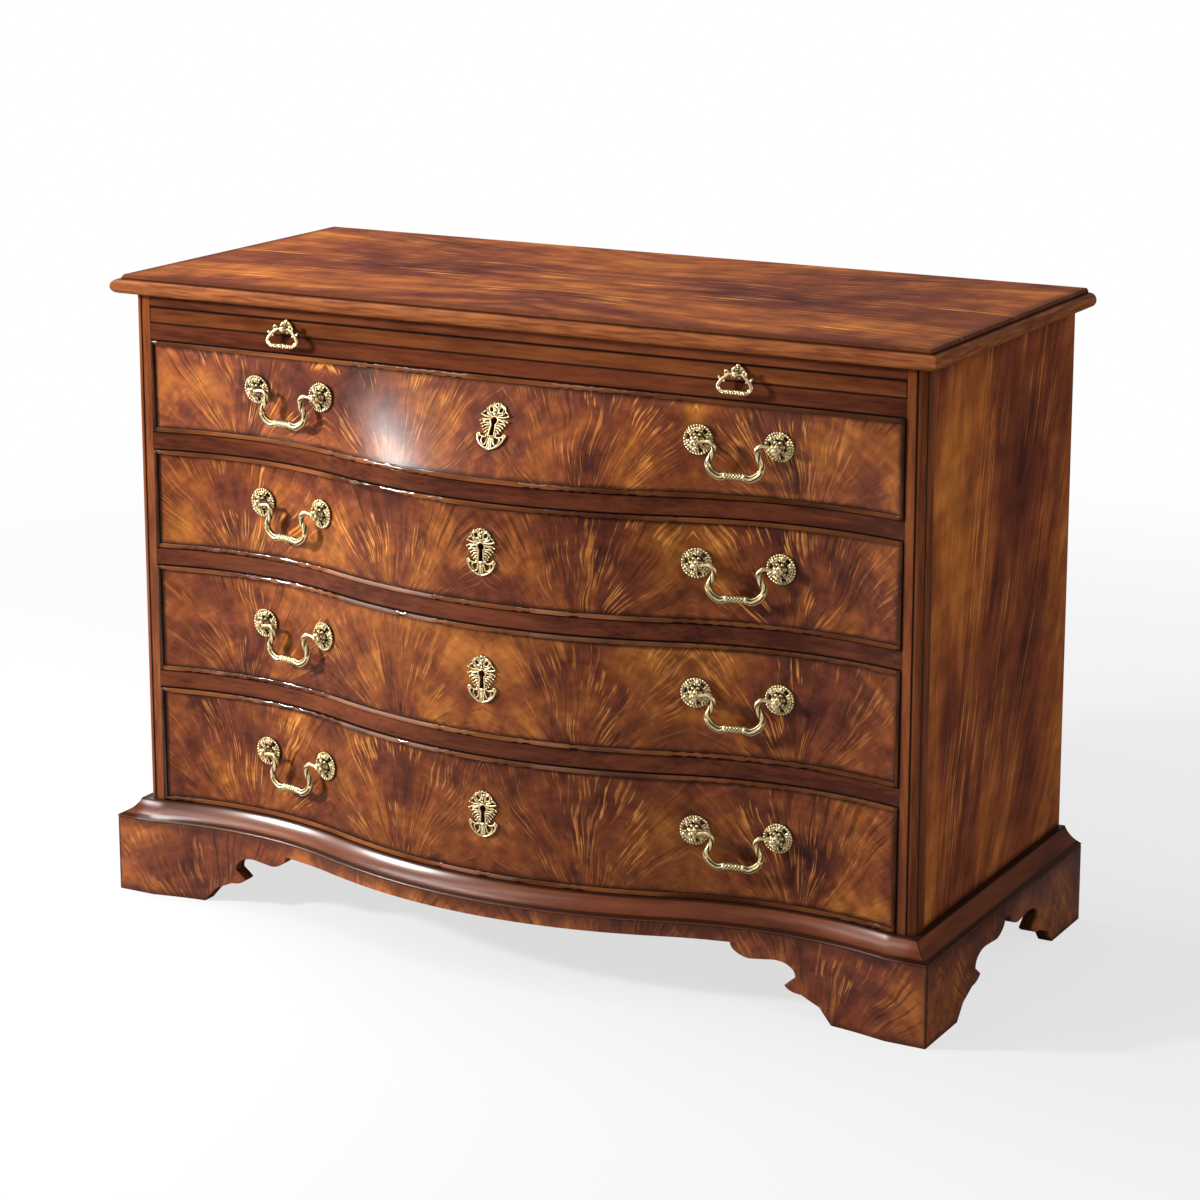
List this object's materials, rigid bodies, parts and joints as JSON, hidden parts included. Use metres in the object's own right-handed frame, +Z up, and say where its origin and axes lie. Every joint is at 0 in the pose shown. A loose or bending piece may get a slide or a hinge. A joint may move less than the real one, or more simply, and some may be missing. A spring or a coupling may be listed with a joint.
{
  "type": "chest of drawers",
  "caption": "Serpentine-fronted mahogany chest of drawers with a brushing slide, cock-beaded fronts, brass swan-neck handles and bracket feet.",
  "frame": {"origin": "middle of the footprint's box, on the floor", "axes": "+Z up, -Y out of the front, +X to the right as seen from the front"},
  "size_m": [1.2194, 0.5986, 0.864],
  "materials": {
    "flame_mahogany": "gloss",
    "plain_mahogany": "gloss",
    "drawer_lining": "matte",
    "antique_brass": "polished"
  },
  "bodies": {
    "case": {"top_board": "flame_mahogany", "left_side_panel": "flame_mahogany", "right_side_panel": "flame_mahogany", "back_panel": "drawer_lining", "left_corner_stile": "plain_mahogany", "right_corner_stile": "plain_mahogany", "top_rail": "plain_mahogany", "slide_divider": "plain_mahogany", "drawer_divider_1": "plain_mahogany", "drawer_divider_2": "plain_mahogany", "drawer_divider_3": "plain_mahogany", "base_frame": "plain_mahogany", "plinth_front": "flame_mahogany", "plinth_left": "flame_mahogany", "plinth_right": "flame_mahogany"},
    "slide": {"brushing_slide": "plain_mahogany", "slide_left_post": "antique_brass", "slide_right_post": "antique_brass"},
    "slide_left_bail": {"slide_left_bail": "antique_brass"},
    "slide_right_bail": {"slide_right_bail": "antique_brass"},
    "drawer_1": {"drawer_1_front": "flame_mahogany", "drawer_1_box": "drawer_lining", "drawer_1_bottom": "drawer_lining", "drawer_1_escutcheon": "antique_brass", "drawer_1_left_inner_rosette": "antique_brass", "drawer_1_left_outer_rosette": "antique_brass", "drawer_1_right_inner_rosette": "antique_brass", "drawer_1_right_outer_rosette": "antique_brass"},
    "drawer_1_left_bail": {"drawer_1_left_bail": "antique_brass"},
    "drawer_1_right_bail": {"drawer_1_right_bail": "antique_brass"},
    "drawer_2": {"drawer_2_front": "flame_mahogany", "drawer_2_box": "drawer_lining", "drawer_2_bottom": "drawer_lining", "drawer_2_escutcheon": "antique_brass", "drawer_2_left_inner_rosette": "antique_brass", "drawer_2_left_outer_rosette": "antique_brass", "drawer_2_right_inner_rosette": "antique_brass", "drawer_2_right_outer_rosette": "antique_brass"},
    "drawer_2_left_bail": {"drawer_2_left_bail": "antique_brass"},
    "drawer_2_right_bail": {"drawer_2_right_bail": "antique_brass"},
    "drawer_3": {"drawer_3_front": "flame_mahogany", "drawer_3_box": "drawer_lining", "drawer_3_bottom": "drawer_lining", "drawer_3_escutcheon": "antique_brass", "drawer_3_left_inner_rosette": "antique_brass", "drawer_3_left_outer_rosette": "antique_brass", "drawer_3_right_inner_rosette": "antique_brass", "drawer_3_right_outer_rosette": "antique_brass"},
    "drawer_3_left_bail": {"drawer_3_left_bail": "antique_brass"},
    "drawer_3_right_bail": {"drawer_3_right_bail": "antique_brass"},
    "drawer_4": {"drawer_4_front": "flame_mahogany", "drawer_4_box": "drawer_lining", "drawer_4_bottom": "drawer_lining", "drawer_4_escutcheon": "antique_brass", "drawer_4_left_inner_rosette": "antique_brass", "drawer_4_left_outer_rosette": "antique_brass", "drawer_4_right_inner_rosette": "antique_brass", "drawer_4_right_outer_rosette": "antique_brass"},
    "drawer_4_left_bail": {"drawer_4_left_bail": "antique_brass"},
    "drawer_4_right_bail": {"drawer_4_right_bail": "antique_brass"}
  },
  "joints": [
    {"name": "slide_travel", "type": "slide", "parent": "case", "child": "slide", "axis": [0, -1, 0], "range_m": [0, 0.26]},
    {"name": "slide_left_bail_swing", "type": "hinge", "parent": "slide", "child": "slide_left_bail", "pos_m": [-0.3305, -0.21445, 0.811], "axis": [-1, 0, 0], "range_deg": [0, 100]},
    {"name": "slide_right_bail_swing", "type": "hinge", "parent": "slide", "child": "slide_right_bail", "pos_m": [0.3305, -0.21445, 0.811], "axis": [-1, 0, 0], "range_deg": [0, 100]},
    {"name": "drawer_1_travel", "type": "slide", "parent": "case", "child": "drawer_1", "axis": [0, -1, 0], "range_m": [0, 0.33]},
    {"name": "drawer_1_left_bail_swing", "type": "hinge", "parent": "drawer_1", "child": "drawer_1_left_bail", "pos_m": [-0.33162, -0.21642, 0.72375], "axis": [-0.9964, 0.0846, 0], "range_deg": [0, 110]},
    {"name": "drawer_1_right_bail_swing", "type": "hinge", "parent": "drawer_1", "child": "drawer_1_right_bail", "pos_m": [0.33162, -0.21642, 0.72375], "axis": [-0.9964, -0.0846, 0], "range_deg": [0, 110]},
    {"name": "drawer_2_travel", "type": "slide", "parent": "case", "child": "drawer_2", "axis": [0, -1, 0], "range_m": [0, 0.33]},
    {"name": "drawer_2_left_bail_swing", "type": "hinge", "parent": "drawer_2", "child": "drawer_2_left_bail", "pos_m": [-0.33306, -0.2133, 0.568], "axis": [-0.9818, 0.1901, 0], "range_deg": [0, 110]},
    {"name": "drawer_2_right_bail_swing", "type": "hinge", "parent": "drawer_2", "child": "drawer_2_right_bail", "pos_m": [0.33306, -0.2133, 0.568], "axis": [-0.9818, -0.1901, 0], "range_deg": [0, 110]},
    {"name": "drawer_3_travel", "type": "slide", "parent": "case", "child": "drawer_3", "axis": [0, -1, 0], "range_m": [0, 0.33]},
    {"name": "drawer_3_left_bail_swing", "type": "hinge", "parent": "drawer_3", "child": "drawer_3_left_bail", "pos_m": [-0.33306, -0.2133, 0.401], "axis": [-0.9818, 0.1901, 0], "range_deg": [0, 110]},
    {"name": "drawer_3_right_bail_swing", "type": "hinge", "parent": "drawer_3", "child": "drawer_3_right_bail", "pos_m": [0.33306, -0.2133, 0.401], "axis": [-0.9818, -0.1901, 0], "range_deg": [0, 110]},
    {"name": "drawer_4_travel", "type": "slide", "parent": "case", "child": "drawer_4", "axis": [0, -1, 0], "range_m": [0, 0.33]},
    {"name": "drawer_4_left_bail_swing", "type": "hinge", "parent": "drawer_4", "child": "drawer_4_left_bail", "pos_m": [-0.33306, -0.2133, 0.221], "axis": [-0.9818, 0.1901, 0], "range_deg": [0, 110]},
    {"name": "drawer_4_right_bail_swing", "type": "hinge", "parent": "drawer_4", "child": "drawer_4_right_bail", "pos_m": [0.33306, -0.2133, 0.221], "axis": [-0.9818, -0.1901, 0], "range_deg": [0, 110]}
  ]
}
